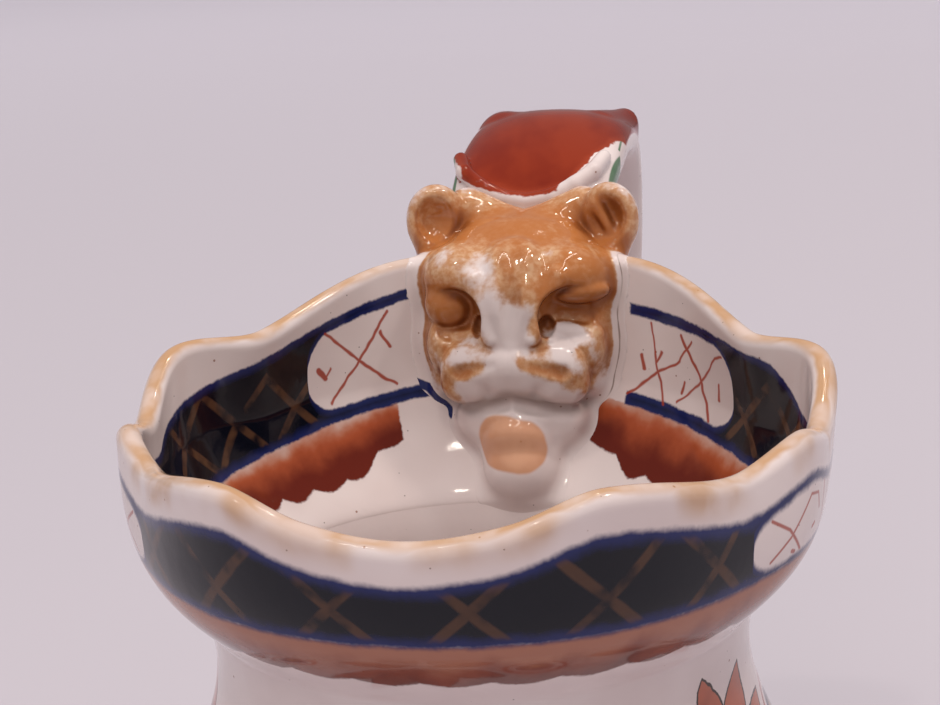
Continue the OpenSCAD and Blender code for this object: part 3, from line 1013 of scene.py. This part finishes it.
def body_paint():
    """Sprays of leaves round the neck and the belly, six times round, under a thin red line."""
    paint = Paint("body_glaze")
    white_glaze(paint)
    shake = paint.noise(5, 2, seed=101) - 0.5
    cell = paint.math("WRAP", paint.turn + 12.0, 36.0, -36.0) * (math.radians(1) * 36)
    where = paint.flat(cell + shake * 1.6, paint.z + shake * 1.2)
    sprays = [
        ((3, 52), (-9, 66), 7), ((3, 52), (-1, 69), 7), ((3, 52), (9, 67.5), 8), ((3, 52), (17, 61), 7),
        ((2, 48), (-13, 50), 7), ((4, 48), (16, 46), 7), ((2, 44), (-9, 33), 8), ((4, 44), (12, 32), 8),
    ]
    outside = paint.number("inside").step(0.4, 0.1)
    tone = paint.noise(7, 2, seed=103)
    for root, tip, width in sprays:
        inside, along = leaf(paint, where, root, tip, width)
        inside = brushed(paint, inside, 105, 0.4)
        shade = paint.mixed((along + (tone - 0.5) * 1.2).step(0.2, 0.8), MAROON, ORANGE)
        paint.coat(inside.step(0.0, 0.3) * outside * 0.92, shade)
        paint.coat((abs(inside - 0.1) - 0.12).step(0.14, 0.0) * outside, UMBER)
    between = paint.math("WRAP", paint.turn + 48.0, 36.0, -36.0) * (math.radians(1) * 36)
    bloom = paint.flat(between, paint.z - 55)
    ring = Wire(paint, paint.vector("LENGTH", bloom)) + shake * 1.5
    paint.coat((abs(ring - 5.2) - 0.35).step(0.3, 0.0) * outside * 0.9, IRON_RED)
    paint.coat((3.4 - ring).step(0.0, 0.5) * outside, paint_cobalt(paint, 3.4 - ring))
    paint.coat((1.2 - ring).step(0.0, 0.4) * outside, OCHRE)
    bands = (abs(paint.z - 20.5 + shake) - 2.6).step(0.2, -0.2)
    paint.coat(bands * outside, paint_cobalt(paint, 2.6 - abs(paint.z - 20.5 + shake)))
    lines = (abs(abs(paint.z - 20.5 + shake * 0.5) - 4.0) - 0.3).step(0.25, 0.0)
    paint.coat(lines * outside * 0.9, IRON_RED)
    return paint.finish()


def foot_paint():
    paint = Paint("foot_glaze")
    white_glaze(paint)
    grit = paint.noise(0.5, 3, seed=71).step(0.3, 0.7)
    paint.coat(paint.z.step(0.5, 0.2), paint.mixed(grit, (0.55, 0.47, 0.38), (0.42, 0.34, 0.26)))
    line = (abs(paint.z - 3.6) + (paint.noise(3, 1, seed=72) - 0.5) * 0.5).step(0.75, 0.45)
    paint.coat(line * 0.9, IRON_RED)
    return paint.finish()


def head_paint():
    paint = Paint("head_glaze")
    white_glaze(paint)
    ochre, hollow = paint.number("ochre"), paint.number("hollow")
    streak = paint.noise(3.2, 4, seed=81)
    fine = paint.noise(0.9, 3, seed=83)
    # the creases take more ochre: partly pigment pooled in the glaze, partly painted shade
    cover = ochre + (streak - 0.5) * 1.3 + (fine - 0.5) * 0.7 + hollow * 0.6
    thin = paint.mixed(fine.step(0.35, 0.65), (0.60, 0.33, 0.16), (0.50, 0.22, 0.075))
    paint.coat(cover.step(0.2, 0.9) * 0.92, thin)
    paint.coat(cover.step(0.8, 1.7) * 0.85, (0.44, 0.14, 0.032))
    # dark brown in the creases: partly pigment pooled in the glaze, partly painted shade
    pooled_glaze_and_shade = (hollow + (streak - 0.5) * 0.35).step(0.12, 0.6)
    paint.coat(pooled_glaze_and_shade * cover.step(0.2, 1.0) * 0.85, (0.26, 0.068, 0.014))
    # darker brown deep down in the creases, such as the eye sockets and ear cups: painted shade
    deep = (hollow + (fine - 0.5) * 0.3).step(0.45, 0.85)
    paint.coat(deep * cover.step(0.4, 1.2) * 0.45, (0.12, 0.035, 0.012))
    # grey in the creases where the glaze is white: painted shade
    paint.coat(hollow.step(0.3, 0.9) * cover.step(0.6, 0.1) * 0.55, (0.33, 0.265, 0.235))
    shadow = (paint.number("mouth") + (streak - 0.5) * 0.5).step(0.0, 0.9)
    paint.coat(shadow * 0.55, (0.27, 0.21, 0.185))
    rim = (abs(paint.number("away") - 1.5) + (streak - 0.5) * 0.25).step(0.14, 0.03) * paint.x.step(9.0, 10.5)
    paint.coat(rim * paint.noise(6, 1, seed=88).step(0.3, 0.5) * 0.7, (0.16, 0.09, 0.06))
    tongue = paint.number("tongue") + (paint.noise(4, 2, seed=85) - 0.5) * 0.2
    peach = paint.mixed(paint.noise(5, 2, seed=86).step(0.3, 0.7), PEACH, (0.62, 0.27, 0.12))
    paint.coat(tongue.step(-0.02, 0.12) * 0.85, peach)
    paint.coat((paint.number("blue") + (fine - 0.5) * 0.3).step(0.0, 0.35), COBALT)
    for side in (-1, 1):
        corner = paint.vector("SUBTRACT", paint.place, over_seam(side * 5.3, 32.2, 23.9))
        near = Wire(paint, paint.vector("LENGTH", corner))
        paint.coat(near.step(1.5, 0.6) * 0.9, UMBER)
    return paint.finish(roughness=0.08, bump=fine * 0.3 + streak * 0.4, gloss=0.6)


def handle_paint():
    paint = Paint("handle_glaze")
    white_glaze(paint)
    along, off = paint.number("along"), paint.number("off")
    wave = paint.noise(5, 2, seed=91) - 0.5
    right = (paint.y - 51.0) * 0.5 + 5.4 + wave * 2.4 - paint.x
    left = paint.x + 11.4 - (57.0 - paint.y).high(0.0) * 0.4 + wave * 1.2
    left = left - (paint.y - 60).high(0.0).low(10.0) * 0.12
    front = paint.over - 38.5 - abs(paint.x) ** 1.5 * 0.07 + (paint.y - 52.5).high(0.0) * 0.8
    patch = brushed(paint, right.low(left).low(front).low(49 - along), 92, 0.5).low((off - 0.1) * 4)
    tone = paint.noise(9, 3, seed=93, stretch=(1, 0.5, 1))
    red = paint.mixed(tone.step(0.35, 0.65), (0.19, 0.017, 0.006), (0.26, 0.030, 0.009))
    red = paint.mixed(patch.step(1.2, 0.1) * 0.6, red, (0.34, 0.05, 0.018))
    where = paint.flat(along, paint.x)
    leaves = paint.strokes(where, [
        (2.4, (50, 8.0), (58, 3.0)), (2.0, (50, -8.0), (58, -3.0)), (1.4, (58, 3.0), (74, 0.5)),
    ])
    down = (0.7 - off).high(0.0) * 3.4
    margin = paint.flat(along, abs(paint.x - 0.5) + down)
    side = paint.x.step(-1, 1)
    leaf_right, _ = leaf(paint, margin, (10, 15.6), (28, 13.0), 6.0)
    stalk = paint.strokes(margin, [(0.5, (29, 12.6), (38, 12.8))])
    fine_left = paint.strokes(margin, [(1.0, (15, 11.4), (24, 12.0), (36, 11.9), (46, 12.1))])
    leaves = leaves.high(leaf_right.step(-0.1, 0.3).high(stalk) * side).high(fine_left * (1.0 - side))
    paint.coat(leaves * (0.85 + wave * 0.5), LEAF_GREEN)
    stems = paint.strokes(where, [
        (0.8, (60, -5.5), (70, 0.0), (80, 5.5)), (0.8, (60, 5.5), (70, 0.0), (80, -5.5)),
        (1.6, (88, -3.5), (96, 0.0)), (1.6, (88, 3.5), (96, 0.0)), (0.8, (96, 0.0), (116, 0.0)),
        (1.4, (104, -3.5), (110, 0.0)), (1.4, (104, 3.5), (110, 0.0)),
    ])
    paint.coat(stems * off.step(-0.2, 0.2) * 0.9, IRON_RED)
    fawn = (47.5 - paint.y + wave * 2).step(0.0, 1.2) * paint.over.step(26, 30)
    paint.coat(fawn * 0.85, OCHRE)
    paint.coat(patch.step(0.0, 0.25), red)
    return paint.finish(roughness=0.07)


def set_material(pieces, material):
    for piece in pieces:
        piece.data.materials.clear()
        piece.data.materials.append(material)


# ---------------------------------------------------------------- camera, floor and lights

def place_camera():
    """From the spout's side, a little to its right and above, turned a little about the line of sight."""
    azimuth, elevation, roll = math.radians(10.25), math.radians(15.18), math.radians(-2.66)
    target = Vector((-0.64, 3.72, SEAM + 28.4)) * MM
    back = Vector((math.sin(azimuth) * math.cos(elevation), -math.cos(azimuth) * math.cos(elevation),
                   math.sin(elevation)))
    right = (-back).cross(Vector((0, 0, 1))).normalized()
    up = right.cross(-back)
    level, lean = math.cos(roll), math.sin(roll)
    axes = Matrix((right * level + up * lean, up * level - right * lean, back)).transposed()
    data = bpy.data.cameras.new("camera")
    data.sensor_width = 36.0
    data.lens = 18.0 / math.tan(math.radians(14.0))
    data.clip_start = 0.01
    camera = bpy.data.objects.new("camera", data)
    camera.matrix_world = Matrix.Translation(target + back * 224.61 * MM) @ axes.to_4x4()
    bpy.context.scene.collection.objects.link(camera)
    bpy.context.scene.camera = camera


def area_light(name, place, aim, size, power, colour=(1, 1, 1)):
    data = bpy.data.lights.new(name, "AREA")
    data.shape = "RECTANGLE"
    data.size, data.size_y = size
    data.energy, data.color = power, colour
    light = bpy.data.objects.new(name, data)
    light.location = place
    light.rotation_euler = (Vector(aim) - Vector(place)).to_track_quat("-Z", "Y").to_euler()
    bpy.context.scene.collection.objects.link(light)
    return light


def place_lights():
    world = bpy.data.worlds.new("studio")
    world.use_nodes = True
    background = world.node_tree.nodes["Background"]
    background.inputs["Color"].default_value = (0.92, 0.88, 0.93, 1)
    background.inputs["Strength"].default_value = 0.28
    bpy.context.scene.world = world
    jug = (0, 0, 0.09)
    broad = [
        area_light("ceiling", (0, 1.3, 2.6), (0, 1.3, 0), (6.0, 6.0), 82.0, (0.98, 0.97, 1.0)),
        area_light("front", (-0.10, -1.0, 0.95), jug, (0.8, 0.6), 4.4, (1.0, 0.95, 0.93)),
    ]
    for light in broad:
        light.visible_glossy = False
    area_light("key", (0.62, 0.10, 1.25), jug, (0.12, 0.12), 3.0, (1.0, 0.93, 0.86))
    area_light("tube", (0.10, -0.05, 1.2), jug, (1.1, 0.03), 2.4, (1.0, 0.95, 0.88))
    area_light("lamp_back", (0.12, 0.42, 1.2), jug, (0.06, 0.05), 1.2, (1.0, 0.90, 0.76))
    area_light("lamp_left", (-0.40, -0.30, 1.15), jug, (0.06, 0.05), 1.0, (1.0, 0.93, 0.84))
    area_light("lamp_front", (0.22, -0.62, 1.05), jug, (0.05, 0.05), 0.9, (1.0, 0.92, 0.80))


def make_floor():
    count = 96
    ring = [(math.cos(2 * math.pi * k / count) * 30, math.sin(2 * math.pi * k / count) * 30, 0)
            for k in range(count)]
    mesh = bpy.data.meshes.new("floor")
    mesh.from_pydata(ring, [], [tuple(range(count))])
    floor = bpy.data.objects.new("floor", mesh)
    bpy.context.scene.collection.objects.link(floor)
    floor_paint = Paint("pale_floor")
    away = Wire(floor_paint, floor_paint.vector("LENGTH", floor_paint.place))
    # the floor is painted lighter far from the jug: painted light that makes up for the lamps' light falling
    # off with distance
    floor_paint.colour = floor_paint.mixed(away.step(150.0, 1800.0), (0.53, 0.487, 0.53), (0.80, 0.735, 0.79))
    shader = floor_paint.node("ShaderNodeBsdfPrincipled")
    floor_paint.feed(shader.inputs["Base Color"], floor_paint.colour)
    shader.inputs["Roughness"].default_value = 0.9
    shader.inputs["Specular IOR Level"].default_value = 0.1
    output = floor_paint.node("ShaderNodeOutputMaterial")
    floor_paint.tree.links.new(shader.outputs[0], output.inputs[0])
    material = floor_paint.material
    mesh.materials.append(material)


place_camera()
place_lights()
make_floor()
bpy.context.scene.view_settings.view_transform = "Standard"

set_material([make_collar()], collar_paint())
set_material([make_body()], body_paint())
set_material([make_foot_ring()], foot_paint())
set_material(make_head(), head_paint())
set_material(make_handle(), handle_paint())
